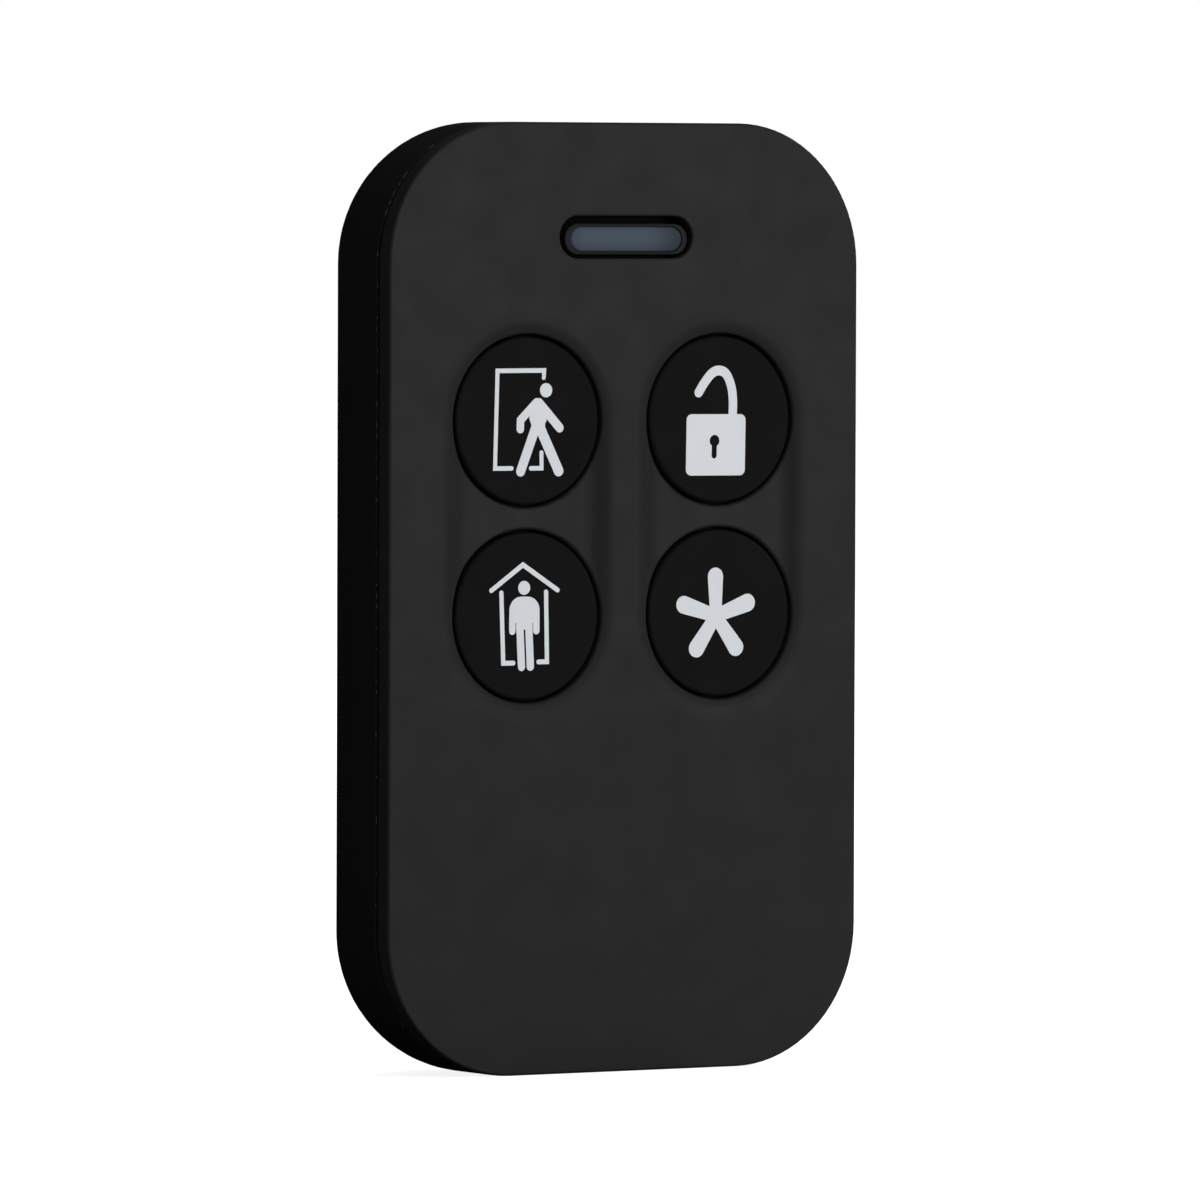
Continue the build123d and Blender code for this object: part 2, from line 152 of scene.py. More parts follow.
def add_node(
    tree: NodeTree, kind: str, inputs: dict[str | int, Any] | None = None, **settings: Any
) -> Node:
    """Adds one node with its settings, its values and its links.

    Args:
        tree: The tree that gets the node.
        kind: The node's type name.
        inputs: By the input's name or place, a value, an output socket, or a node for its first output.
        **settings: Properties of the node itself.

    Returns:
        The new node.
    """
    node = tree.nodes.new(kind)
    for name, value in settings.items():
        setattr(node, name, value)
    for key, value in (inputs or {}).items():
        if isinstance(value, Node):
            value = value.outputs[0]
        if isinstance(value, NodeSocket):
            tree.links.new(value, node.inputs[key])
        else:
            node.inputs[key].default_value = value
    return node


# Finishes

@dataclass(frozen=True)
class Finish:
    """What every finish of the fob has.

    Attributes:
        name: What the material is and how its surface was made.
        colour: Its colour as sRGB hex.
        roughness: Roughness of its gloss.
        ior: Index of refraction, left at the default for a metal.
        specular: Strength of the gloss, lower where a fine texture traps it.
        grain: Spacing of the fine relief, in millimetres.
        relief: Height of that relief, in millimetres.
        patch: Spacing of the slow colour changes, in millimetres.
        shade: How much darker or lighter those changes go.
        uneven: How much duller or glossier the smudges from handling are.
    """

    name: str
    colour: str
    roughness: float
    ior: float = 1.5
    specular: float = 0.5
    grain: float = 0.2
    relief: float = 0.004
    patch: float = 8.0
    shade: float = 0.06
    uneven: float = 0.07

    def build(self) -> Material:
        """Makes the material.

        Returns:
            The new material, with its node tree.
        """
        material = bpy.data.materials.new(self.name)
        tree = empty_tree(material)
        place = add_node(tree, "ShaderNodeTexCoord").outputs["Object"]
        height = self.height(tree, place)
        relief = add_node(
            tree, "ShaderNodeBump", {"Height": height, "Distance": self.relief * MM, "Strength": 1.0}
        )
        look = {
            "Base Color": self.tint(tree, place),
            "Roughness": self.gloss(tree, place),
            "Normal": relief,
            "IOR": self.ior,
            "Specular IOR Level": self.specular,
        }
        shader = add_node(tree, "ShaderNodeBsdfPrincipled", look)
        self.adjust(shader)
        add_node(tree, "ShaderNodeOutputMaterial", {"Surface": shader})
        return material

    def tint(self, tree: NodeTree, place: NodeSocket) -> NodeSocket:
        """Makes the colour, which drifts slowly over the surface.

        Args:
            tree: The material's tree.
            place: Object coordinates.

        Returns:
            The colour's socket.
        """
        patches = add_node(
            tree, "ShaderNodeTexNoise", {"Vector": place, "Scale": per_metre(self.patch), "Detail": 3.0}
        )
        ranges = {0: patches, 1: NOISE_LOW, 2: NOISE_HIGH, 3: 1 - self.shade, 4: 1 + self.shade}
        spread = add_node(tree, "ShaderNodeMapRange", ranges)
        return add_node(
            tree, "ShaderNodeVectorMath", {0: linear(self.colour)[:3], 3: spread}, operation="SCALE"
        ).outputs[0]

    def gloss(self, tree: NodeTree, place: NodeSocket) -> NodeSocket:
        """Makes the roughness, a little uneven from handling.

        Args:
            tree: The material's tree.
            place: Object coordinates.

        Returns:
            The roughness's socket.
        """
        smudge = self.patch / SMUDGES_PER_PATCH
        smudges = add_node(
            tree, "ShaderNodeTexNoise", {"Vector": place, "Scale": per_metre(smudge), "Detail": 4.0}
        )
        low, high = self.roughness * (1 - self.uneven), self.roughness * (1 + self.uneven)
        ranges = {0: smudges, 1: NOISE_LOW, 2: NOISE_HIGH, 3: low, 4: high}
        return add_node(tree, "ShaderNodeMapRange", ranges).outputs[0]

    def height(self, tree: NodeTree, place: NodeSocket) -> NodeSocket:
        """Makes the height of the fine relief, a noise of the grain's size."""
        return add_node(
            tree, "ShaderNodeTexNoise", {"Vector": place, "Scale": per_metre(self.grain), "Detail": 2.0}
        ).outputs[0]

    def adjust(self, shader: Node) -> None:
        """Sets what only some finishes need; a plain one needs nothing."""


@dataclass(frozen=True)
class Metal(Finish):
    """A plated, rolled or drawn metal. Fine draw lines break its reflections.

    Attributes:
        stretch: How many times longer than wide the lines are.
    """

    relief: float = 0.001
    stretch: float = 12.0

    def height(self, tree: NodeTree, place: NodeSocket) -> NodeSocket:
        """Makes the draw lines: the grain, pulled long along X."""
        longer = (1 / self.stretch, 1.0, 1.0)
        drawn = add_node(tree, "ShaderNodeMapping", {"Vector": place, "Scale": longer})
        return super().height(tree, drawn.outputs[0])

    def adjust(self, shader: Node) -> None:
        """Makes the shader a metal."""
        shader.inputs["Metallic"].default_value = 1.0


@dataclass(frozen=True)
class Frosted(Finish):
    """A clear plastic with a diffusing filler, which light enters and leaves softened.

    Attributes:
        clearness: How much of the light goes through.
        middle_height: Height of the bar's middle above the middle of the fob, in millimetres.
        half_length: Half the length of the bar, in millimetres.
        half_height: Half its height, in millimetres.
        right_end: How bright the painted shade leaves the end away from the light.
        right_start: Where that painted shade starts, as a share of the half length.
        left_end: How bright the painted shade leaves the end next to the light.
        left_start: Where that painted shade starts.
        long_edge: How bright the painted shade leaves the two long edges.
        edge_start: Where their painted shade starts, as a share of the half height.
    """

    clearness: float = 0.1
    middle_height: float = 22.28
    half_length: float = 4.05
    half_height: float = 0.78
    right_end: float = 0.35
    right_start: float = 0.35
    left_end: float = 0.75
    left_start: float = 0.7
    long_edge: float = 0.72
    edge_start: float = 0.2

    def tint(self, tree: NodeTree, place: NodeSocket) -> NodeSocket:
        """Makes the colour, darkened towards the ends and long edges of the bar as painted shade of its
        rounded rim.

        Args:
            tree: The material's tree.
            place: Object coordinates.

        Returns:
            The colour's socket.
        """
        along = add_node(tree, "ShaderNodeSeparateXYZ", {0: place}).outputs
        middle, half, rise = self.middle_height, self.half_length, self.half_height
        inner_rise = self.edge_start * rise
        # Painted shade: each row darkens the colour towards one end or one long edge of the bar.
        painted_shades = (
            (along["X"], self.right_start * half, half, self.right_end),
            (along["X"], -self.left_start * half, -half, self.left_end),
            (along["Z"], middle + inner_rise, middle + rise, self.long_edge),
            (along["Z"], middle - inner_rise, middle - rise, self.long_edge),
        )
        colour: Any = linear(self.colour)[:3]
        for across, start, end, low in painted_shades:
            ranges = {0: across, 1: start * MM, 2: end * MM, 3: 1.0, 4: low}
            fade = add_node(tree, "ShaderNodeMapRange", ranges, interpolation_type="SMOOTHSTEP")
            colour = add_node(tree, "ShaderNodeVectorMath", {0: colour, 3: fade}, operation="SCALE")
        return colour.outputs[0]

    def adjust(self, shader: Node) -> None:
        """Lets light through."""
        shader.inputs["Transmission Weight"].default_value = self.clearness


@dataclass(frozen=True)
class Bezel(Finish):
    """A black moulding that is satin on its rim and dull below it.

    Attributes:
        rim: How far the satin goes down from the front of the fob, in millimetres.
        fade: Over what depth it turns dull, in millimetres.
    """

    rim: float = 0.4
    fade: float = 0.1

    def gloss(self, tree: NodeTree, place: NodeSocket) -> NodeSocket:
        """Makes the roughness, which rises below the rim.

        Args:
            tree: The material's tree.
            place: Object coordinates.

        Returns:
            The roughness's socket.
        """
        deep = add_node(tree, "ShaderNodeSeparateXYZ", {0: place}).outputs["Y"]
        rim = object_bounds()[0].y + self.rim * MM
        ranges = {0: deep, 1: rim, 2: rim + self.fade * MM, 3: self.roughness, 4: 1.0}
        return add_node(tree, "ShaderNodeMapRange", ranges).outputs[0]


@dataclass(frozen=True)
class Laminate(Finish):
    """Woven glass laminate under a solder mask. The weave shows faintly through the mask.

    Attributes:
        weave: Spacing of the glass threads, in millimetres.
    """

    weave: float = 0.5

    def height(self, tree: NodeTree, place: NodeSocket) -> NodeSocket:
        """Makes the two sets of threads.

        Args:
            tree: The material's tree.
            place: Object coordinates.

        Returns:
            The height's socket.
        """
        # A wave texture of scale 1 has a band every tenth of pi.
        scale = per_metre(self.weave) * math.pi / 10
        warp, weft = (
            add_node(tree, "ShaderNodeTexWave", {"Vector": place, "Scale": scale}, bands_direction=way)
            for way in ("X", "Z")
        )
        both = {0: warp.outputs["Fac"], 1: weft.outputs["Fac"]}
        return add_node(tree, "ShaderNodeMath", both, operation="ADD").outputs[0]


@dataclass(frozen=True)
class PadPrint(Finish):
    """White ink laid on by a pad: even, matt, thin at a few places where thumbs rub it.

    Attributes:
        worn: The colour where the ink is rubbed thin.
        rub: Spacing of the rubbed spots, in millimetres.
        rub_level: Level of their noise above which the ink thins.
        rub_edge: How much higher it is fully thin.
    """

    worn: str = "#9aa3a8"
    rub: float = 1.1
    rub_level: float = 0.72
    rub_edge: float = 0.08

    def tint(self, tree: NodeTree, place: NodeSocket) -> NodeSocket:
        """Makes the ink's colour with its rubbed spots.

        Args:
            tree: The material's tree.
            place: Object coordinates.

        Returns:
            The colour's socket.
        """
        spots = add_node(
            tree, "ShaderNodeTexNoise", {"Vector": place, "Scale": per_metre(self.rub), "Detail": 5.0}
        )
        ranges = {0: spots, 1: self.rub_level, 2: self.rub_level + self.rub_edge, 3: 0.0, 4: 1.0}
        rubbed = add_node(tree, "ShaderNodeMapRange", ranges)
        inks = {0: rubbed, "A": linear(self.colour), "B": linear(self.worn)}
        return add_node(tree, "ShaderNodeMix", inks, data_type="RGBA").outputs["Result"]


FINISHES: dict[str, Finish] = {
    # Dark grey ABS from a spark-eroded mould: even and matt, so the dishes read by shade alone.
    "cover_plastic": Finish("ABS_dark_grey_spark_eroded", "#1b1a1a", 0.42, specular=0.05),
    # Black ABS from the same kind of mould, with its gloss broken by the texture.
    "case_plastic": Finish("ABS_black_spark_eroded", "#121212", 0.5, specular=0.02),
    # Black keys under a soft matt lacquer: darker than the cover, with hardly any gloss.
    "key_rubber": Finish("soft_touch_lacquer_black", "#101010", 0.7, specular=0.03, grain=0.12),
    # Black bezel, satin on its rim and dull where it goes down behind the cover.
    "bezel_plastic": Bezel("polycarbonate_black_satin", "#101011", 0.45, specular=0.05, relief=0.0005),
    # Frosted light pipe: a grey-blue bar, with painted shade darkening its ends and long edges.
    "light_pipe_plastic": Frosted(
        "polycarbonate_frosted", "#424d5b", 0.5, ior=1.58, specular=0.02, relief=0.001
    ),
    # Silicone mat: grey, with the soft shine of a slightly oily skin.
    "silicone": Finish("silicone_grey_moulded", "#3c3f42", 0.55, ior=1.41, relief=0.002),
    # Green solder mask over woven glass laminate: glossy, with a faint weave under the shine.
    "board_laminate": Laminate("laminate_green_solder_mask", "#0f4a2a", 0.35, relief=0.008),
    # White reflector housing of the lamp: bright and even.
    "led_body": Finish("polyamide_white_moulded", "#e4e2d8", 0.45),
    # Black moulded chip package: flat black with a fine matt grain.
    "chip_package": Finish("epoxy_black_moulded", "#161617", 0.6, grain=0.08),
    # Drawn nickel lid of the crystal: warm grey, its shine broken by draw lines.
    "nickel_can": Metal("nickel_drawn", "#b9b4a6", 0.3),
    # Fired ceramic of the small capacitors: dull tan.
    "capacitor_ceramic": Finish("ceramic_tan_fired", "#8f7350", 0.5),
    # Black glass coat of the small resistors: dark, with a clear highlight.
    "resistor_ceramic": Finish("glass_coat_black", "#121214", 0.35),
    # Drawn copper wire of the aerial: bright orange with lengthwise lines.
    "copper_wire": Metal("copper_drawn", "#c9774a", 0.3),
    # Reflowed tin solder: pale grey with a soft shine.
    "solder_tin": Metal("tin_solder_reflowed", "#b7b9bb", 0.4, relief=0.004),
    # Stamped stainless steel of the cell: bright and almost mirror-like.
    "cell_steel": Metal("stainless_steel_stamped", "#c3c4c2", 0.28),
    # Moulded gasket of the cell: a thin dull black ring between its two steel halves.
    "cell_gasket_plastic": Finish("polypropylene_black_moulded", "#1c1c1d", 0.5),
    # Natural nylon of the cradle: off-white and waxy.
    "cradle_plastic": Finish("nylon_natural_moulded", "#cfc9b8", 0.5),
    # Nickel-plated spring steel of the contacts: slightly yellow shine.
    "contact_steel": Metal("spring_steel_nickel_plated", "#bdbab0", 0.3),
    # Zinc-plated steel of the screws: cool grey that glints deep in their holes.
    "screw_steel": Metal("steel_zinc_plated", "#a9abad", 0.35),
    # Acetal buttons of the switches: white with a slippery shine.
    "plunger_plastic": Finish("acetal_white_moulded", "#dcdad2", 0.4),
    # Nylon bodies of the switches: plain dull black.
    "switch_plastic": Finish("nylon_black_moulded", "#18181a", 0.5),
    # Thin rolled steel of the snap domes: the brightest metal inside.
    "dome_steel": Metal("stainless_steel_rolled", "#bcbdbb", 0.25),
}

# White ink with a cold cast, as on the photographed keys.
INK = PadPrint("epoxy_ink_white_pad_printed", "#d6dade", 0.55, specular=0.3, grain=0.1, relief=0.001)
# Bare polyester film in the recess of the back: smoother than the case, so it shows as a plate.
LABEL_FILM = Finish("polyester_film_satin_black", "#1a1b1d", 0.38, grain=0.3, relief=0.0005)
# Torn flash left on the seam by trimming: rough, and a lighter grey than the case, which is partly a
# painted highlight for the glints along the seam.
FLASH_WITH_PAINTED_GLINT = Finish("ABS_grey_torn_flash_painted_glint", "#333334", 0.9, specular=0.2, grain=0.05, relief=0.01)


# Flat shapes of the prints, in millimetres from the middle of a key

def arc(centre: Point, radius: float, start: float, end: float, steps: int) -> list[Point]:
    """Gives points along an arc.

    Args:
        centre: Middle of the circle.
        radius: Radius of the circle.
        start: First angle, in degrees.
        end: Last angle, in degrees.
        steps: Number of equal steps.

    Returns:
        The points, first and last included.
    """
    points = []
    for step in range(steps + 1):
        angle = math.radians(start + (end - start) * step / steps)
        points.append((centre[0] + radius * math.cos(angle), centre[1] + radius * math.sin(angle)))
    return points


def bearing(way: Vector) -> float:
    """Gives the direction of a vector, in degrees anticlockwise from the first axis."""
    return math.degrees(math.atan2(way.y, way.x))


@dataclass(frozen=True)
class Dot:
    """A filled circle.

    Attributes:
        centre: Its middle.
        radius: Its radius.
    """

    centre: Point
    radius: float

    def outline(self) -> list[Point]:
        """Gives the circle's points."""
        return arc(self.centre, self.radius, 0, 360, DOT_STEPS)[:-1]


@dataclass(frozen=True)
class Patch:
    """A filled polygon with every corner rounded.

    Attributes:
        corners: Its corners, anticlockwise.
        radius: Radius of the corners.
    """

    corners: tuple[Point, ...]
    radius: float = 0.0

    def outline(self) -> list[Point]:
        """Rounds the corners.

        Returns:
            The points, with an arc at each corner.
        """
        if not self.radius:
            return list(self.corners)
        points: list[Point] = []
        count = len(self.corners)
        for place in range(count):
            corner = Vector(self.corners[place])
            to_last = (Vector(self.corners[place - 1]) - corner).normalized()
            to_next = (Vector(self.corners[(place + 1) % count]) - corner).normalized()
            half = to_last.angle(to_next) / 2
            middle = corner + (to_last + to_next).normalized() * (self.radius / math.sin(half))
            start = bearing(corner + to_last * (self.radius / math.tan(half)) - middle)
            turn = 180 - math.degrees(2 * half)
            points += arc((middle.x, middle.y), self.radius, start, start + turn, ROUND_STEPS)
        return points


@dataclass(frozen=True)
class Line:
    """A line of even width with round ends.

    Attributes:
        points: Where its middle goes.
        width: Its width.
        curved: True if it bends smoothly through its points, false if it has corners.
    """

    points: tuple[Point, ...]
    width: float
    curved: bool = False

    def path(self) -> list[Vector]:
        """Finds the middle of the line.

        Returns:
            Its points, closer together where the line is curved.
        """
        path = [Vector(point) for point in self.points]
        if not self.curved:
            return path
        ends = [path[0] * 2 - path[1], *path, path[-1] * 2 - path[-2]]
        smooth = []
        for place in range(1, len(ends) - 2):
            before, start, end, after = ends[place - 1:place + 3]
            # Handles of a sixth of these spans let each stretch run smoothly into the next.
            handles = (start + (end - before) / 6, end - (after - start) / 6)
            smooth += interpolate_bezier(start, *handles, end, CURVE_STEPS + 1)[:-1]
        return [*smooth, path[-1]]

    def outline(self) -> list[Point]:
        """Gives the line its width and its round ends.

        Returns:
            The points round it, out along one side and back along the other.
        """
        path = self.path()
        half = self.width / 2
        sides: list[list[Point]] = [[], []]
        for place in range(1, len(path) - 1):
            arriving = (path[place] - path[place - 1]).normalized()
            leaving = (path[place + 1] - path[place]).normalized()
            along = (arriving + leaving).normalized()
            mitre = along.orthogonal() * (half / along.dot(leaving))
            sides[0].append(tuple(path[place] - mitre))
            sides[1].append(tuple(path[place] + mitre))
        caps = []
        for end, inner in ((path[0], path[1]), (path[-1], path[-2])):
            out = bearing(end - inner)
            caps.append(arc(tuple(end), half, out - 90, out + 90, ROUND_STEPS))
        return [*caps[0], *sides[0], *caps[1], *reversed(sides[1])]


Shape = Dot | Patch | Line


@dataclass(frozen=True)
class Seat:
    """Where a thin flat piece lies, in millimetres.

    Attributes:
        centre: X and Z of the point that its shape is drawn from.
        front: Y of its face.
        back: Y of its underside.
    """

    centre: Point
    front: float
    back: float


@dataclass(frozen=True)
class Pictogram:
    """A print made of overlapping flat shapes.

    Attributes:
        inked: Shapes that hold ink.
        bare: Shapes left without ink inside those.
    """

    inked: tuple[Shape, ...]
    bare: tuple[Shape, ...] = ()

    def mesh(self, name: str, seat: Seat) -> Mesh:
        """Makes the print as one closed thin solid.

        Args:
            name: Name of the mesh.
            seat: Where it lies.

        Returns:
            The mesh, in metres.
        """
        corners: list[Point] = []
        loops: list[list[int]] = []
        for shape in (*self.inked, *self.bare):
            outline = shape.outline()
            loops.append(list(range(len(corners), len(corners) + len(outline))))
            corners += outline
        # Output 1 keeps the triangles inside the shapes, and the last flag says whose each one is.
        made = delaunay_2d_cdt([Vector(corner) for corner in corners], [], loops, 1, SAME_POINT, True)
        places, triangles, owners = made[0], made[2], made[5]
        # The bare shapes come last, so a triangle of ink belongs to none numbered past the inked ones.
        kept = [
            triangle
            for triangle, owner in zip(triangles, owners)
            if owner and max(owner) < len(self.inked)
        ]
        return thin_solid(name, places, kept, seat)


def thin_solid(name: str, places: list[Vector], triangles: list[list[int]], seat: Seat) -> Mesh:
    """Gives flat triangles a thickness along Y.

    Args:
        name: Name of the mesh.
        places: X and Z of each corner, in millimetres from the seat's centre.
        triangles: Corners of each triangle, anticlockwise seen from the front.
        seat: Where the solid lies.

    Returns:
        A closed mesh, in metres.
    """
    # Only the corners that a triangle uses are kept, first all in front and then all behind.
    used = sorted({corner for triangle in triangles for corner in triangle})
    number = {corner: place for place, corner in enumerate(used)}
    x, z = seat.centre
    points = [
        Vector((x + places[corner].x, depth, z + places[corner].y)) * MM
        for depth in (seat.front, seat.back)
        for corner in used
    ]
    count = len(used)
    faces = []
    # The sides in the order they are met, so that each run gives the same mesh.
    sides: dict[tuple[int, int], None] = {}
    for triangle in triangles:
        turned = [number[corner] for corner in triangle]
        faces += [turned, [corner + count for corner in reversed(turned)]]
        for place in range(len(turned)):
            sides[(turned[place - 1], turned[place])] = None
    # A side that no other triangle shares is on the rim.
    for start, end in sides:
        if (end, start) not in sides:
            faces.append([end, start, start + count, end + count])
    mesh = bpy.data.meshes.new(name)
    mesh.from_pydata(points, [], faces)
    mesh.validate()
    return mesh


class Key(Enum):
    """The four keys, by what their print stands for."""

    AWAY = "away"
    DISARM = "disarm"
    HOME = "home"
    STAR = "star"

    @property
    def node(self) -> str:
        """Name of the key's node, which is also the name of its body."""
        return "key_" + self.value


# A person leaves through a door.
LEAVING = Pictogram(
    inked=(
        Line(((1.15, 2.64), (1.18, 3.09), (-2.18, 3.08), (-2.34, -2.92), (-1.15, -2.92)), 0.28),
        Line(((0.24, -2.93), (1.01, -2.93), (1.00, -1.97)), 0.28),
        Dot((1.32, 1.87), 0.44),
        Line(((0.64, 1.13), (-0.52, 0.04), (-0.53, -0.51)), 0.53),
        Line(((0.82, 1.10), (2.30, -0.45)), 0.58),
        Patch(
            ((1.26, -0.50), (1.24, -0.20), (1.37, 0.02), (1.10, 1.00), (0.40, 1.00), (0.10, 0.15),
             (0.26, -0.25), (0.24, -0.50))
        ),
        Line(((0.60, -0.35), (-0.50, -3.11)), 0.64),
        Line(((0.84, -0.35), (2.24, -3.10)), 0.69),
    ),
)

# An open padlock.
OPEN_PADLOCK = Pictogram(
    inked=(
        Patch(((-2.48, -3.49), (1.85, -3.51), (1.90, 0.30), (-2.43, 0.32)), 0.38),
        Line(
            ((0.94, 0.0), (0.96, 1.15), (0.83, 2.05), (0.47, 2.79), (-0.03, 3.02), (-0.56, 2.87),
             (-1.12, 2.29), (-1.56, 1.66)),
            0.61,
            curved=True,
        ),
    ),
    bare=(
        Dot((-0.38, -1.34), 0.36),
        Line(((-0.39, -1.45), (-0.41, -2.26)), 0.37),
    ),
)

# A person stays in a house.
STAYING = Pictogram(
    inked=(
        Line(((-2.58, 1.63), (-0.31, 3.19), (2.19, 1.60)), 0.30),
        Line(((-1.86, 1.48), (-1.71, -2.85), (-0.99, -2.85)), 0.30),
        Line(((1.36, 1.50), (1.44, -2.81), (0.83, -2.81)), 0.30),
        Dot((-0.22, 1.77), 0.43),
        Dot((-0.43, 0.38), 0.85),
        Dot((0.04, 0.38), 0.85),
        Patch(((-0.43, 0.30), (0.04, 0.30), (0.04, 1.23), (-0.43, 1.23))),
        Patch(((-1.28, -0.29), (0.89, -0.29), (0.89, 0.38), (-1.28, 0.38))),
        Line(((-1.065, 0.0), (-1.065, -0.89)), 0.45),
        Line(((0.665, 0.0), (0.665, -0.88)), 0.46),
        Patch(((-0.79, -0.80), (0.39, -0.80), (0.39, 0.0), (-0.79, 0.0))),
        Line(((-0.525, -0.60), (-0.395, -3.09)), 0.52),
        Line(((0.125, -0.60), (0.24, -3.09)), 0.52),
    ),
)


def place_piece(piece: Object, body: str, material: Material) -> None:
    """Puts a finished piece on its body and reports it.

    Args:
        piece: The piece.
        body: The body it moves with.
        material: Its finish.
    """
    piece.data.materials.clear()
    piece.data.materials.append(material)
    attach(piece, body)
    log.info("%s rides on %s with %d faces", piece.name, body, len(piece.data.polygons))


def grow(name: str, tree: NodeTree, values: dict[str, Any]) -> Object:
    """Runs a geometry tree once and keeps its result as a plain mesh.

    Args:
        name: Name of the piece.
        tree: The geometry tree.
        values: A value for each named input of the tree.

    Returns:
        The object with the mesh.
    """
    seed = new_object(name + "_seed", bpy.data.meshes.new(name + "_seed"))
    modifier = seed.modifiers.new("grow", "NODES")
    modifier.node_group = tree
    for item in tree.interface.items_tree:
        if item.in_out == "INPUT":
            modifier[item.identifier] = values[item.name]
    graph = bpy.context.evaluated_depsgraph_get()
    mesh = bpy.data.meshes.new_from_object(seed.evaluated_get(graph), depsgraph=graph)
    mesh.name = name
    seed.modifiers.remove(modifier)
    bpy.data.objects.remove(seed)
    return new_object(name, mesh)


def open_tree(name: str, values: dict[str, Any]) -> tuple[NodeTree, Node]:
    """Starts a geometry tree with named inputs.

    Args:
        name: Name of the tree.
        values: What each named input will be given.

    Returns:
        The tree and its input node.
    """
    tree = bpy.data.node_groups.new(name, "GeometryNodeTree")
    for label, value in values.items():
        tree.interface.new_socket(label, in_out="INPUT", socket_type=SOCKETS[type(value)])
    tree.interface.new_socket("Mesh", in_out="OUTPUT", socket_type="NodeSocketGeometry")
    return tree, add_node(tree, "NodeGroupInput")


def close_tree(tree: NodeTree, entry: Node, shape: Node) -> None:
    """Ends a geometry tree with real geometry and its material.

    Args:
        tree: The geometry tree.
        entry: Its input node.
        shape: The node that gives the geometry.
    """
    real = add_node(tree, "GeometryNodeRealizeInstances", {0: shape})
    dressed = add_node(
        tree, "GeometryNodeSetMaterial", {"Geometry": real, "Material": entry.outputs[FINISH_INPUT]}
    )
    add_node(tree, "NodeGroupOutput", {0: dressed})


# What the looks add to the fob

@dataclass
class Asterisk:
    """The five-petalled star of the last key, laid out by a rule.

    Attributes:
        petals: Number of petals.
        reach: From the middle to the centre of a petal's round end.
        end_radius: Radius of that end.
        notch_radius: From the middle to the notch between two petals.
        offset: Where the print's middle lies from the key's middle.
        turn: How far the print is turned anticlockwise, in degrees.
        points_each: Points that draw one petal, its notch among them.
        weld: How close two points are that become one.
    """

    petals: int = 5
    reach: float = 2.45
    end_radius: float = 0.56
    notch_radius: float = 0.76
    offset: Point = (-0.243, -0.182)
    turn: float = 0.8
    points_each: int = 16
    weld: float = 0.0001

    def tree(self, values: dict[str, Any]) -> NodeTree:
        """Builds the geometry tree of the star.

        Args:
            values: What each of its inputs will be given.

        Returns:
            The tree, which draws the outline flat, fills it, stands it up and gives it a thickness.
        """
        tree, entry = open_tree("asterisk_print", values)
        sizes = entry.outputs
        petals, each = sizes["Petals"], sizes["Points each"]
        # Each point has a petal, and a step along it. Step 0 is the notch before the petal.
        total = add_node(tree, "ShaderNodeMath", {0: petals, 1: each}, operation="MULTIPLY")
        outline = add_node(tree, "GeometryNodeMeshLine", {"Count": total})
        index = add_node(tree, "GeometryNodeInputIndex")
        quotient = add_node(tree, "ShaderNodeMath", {0: index, 1: each}, operation="DIVIDE")
        petal = add_node(tree, "ShaderNodeMath", {0: quotient}, operation="FLOOR")
        step = add_node(tree, "ShaderNodeMath", {0: index, 1: each}, operation="FLOORED_MODULO")
        last_step = add_node(tree, "ShaderNodeMath", {0: each, 1: 1.0}, operation="SUBTRACT")
        # The other steps swing half a turn round the petal's end.
        ranges = {0: step, 1: 1.0, 2: last_step, 3: -math.pi / 2, 4: math.pi / 2}
        swing = add_node(tree, "ShaderNodeMapRange", ranges)
        tip, out, inner = (
            add_node(tree, "ShaderNodeCombineXYZ", {"X": sizes[name]})
            for name in ("End radius", "Reach", "Notch radius")
        )
        swung = add_node(
            tree, "ShaderNodeVectorRotate", {"Vector": tip, "Angle": swing}, rotation_type="Z_AXIS"
        )
        on_end = add_node(tree, "ShaderNodeVectorMath", {0: out, 1: swung}, operation="ADD")
        back = add_node(tree, "ShaderNodeMath", {0: -math.pi, 1: petals}, operation="DIVIDE")
        notch = add_node(
            tree, "ShaderNodeVectorRotate", {"Vector": inner, "Angle": back}, rotation_type="Z_AXIS"
        )
        past_notch = add_node(tree, "FunctionNodeCompare", {0: step, 1: 0.5}, operation="GREATER_THAN")
        choice = {"Switch": past_notch, "False": notch, "True": on_end}
        local = add_node(tree, "GeometryNodeSwitch", choice, input_type="VECTOR")
        # Each petal is turned on by one share of the circle, and the first one points up.
        share = add_node(tree, "ShaderNodeMath", {0: 2 * math.pi, 1: petals}, operation="DIVIDE")
        first = math.pi / 2 + math.radians(self.turn)
        turn = add_node(tree, "ShaderNodeMath", {0: petal, 1: share, 2: first}, operation="MULTIPLY_ADD")
        turned = add_node(
            tree, "ShaderNodeVectorRotate", {"Vector": local, "Angle": turn}, rotation_type="Z_AXIS"
        )
        drawn = add_node(tree, "GeometryNodeSetPosition", {"Geometry": outline, "Position": turned})
        curve = add_node(tree, "GeometryNodeMeshToCurve", {0: drawn})
        closed = add_node(tree, "GeometryNodeSetSplineCyclic", {"Geometry": curve, "Cyclic": True})
        filled = add_node(tree, "GeometryNodeFillCurve", {"Curve": closed})
        upright = add_node(tree, "GeometryNodeTransform", {"Geometry": filled, "Rotation": UPRIGHT})
        growth = {"Mesh": upright, "Offset Scale": sizes["Thickness"], "Individual": False}
        raised = add_node(tree, "GeometryNodeExtrudeMesh", growth)
        underside = add_node(tree, "GeometryNodeFlipFaces", {"Mesh": upright})
        joined = add_node(tree, "GeometryNodeJoinGeometry", {0: raised})
        tree.links.new(underside.outputs[0], joined.inputs[0])
        welded = add_node(
            tree, "GeometryNodeMergeByDistance", {"Geometry": joined, "Distance": self.weld * MM}
        )
        moved = add_node(
            tree, "GeometryNodeTransform", {"Geometry": welded, "Translation": sizes["Centre"]}
        )
        close_tree(tree, entry, moved)
        return tree

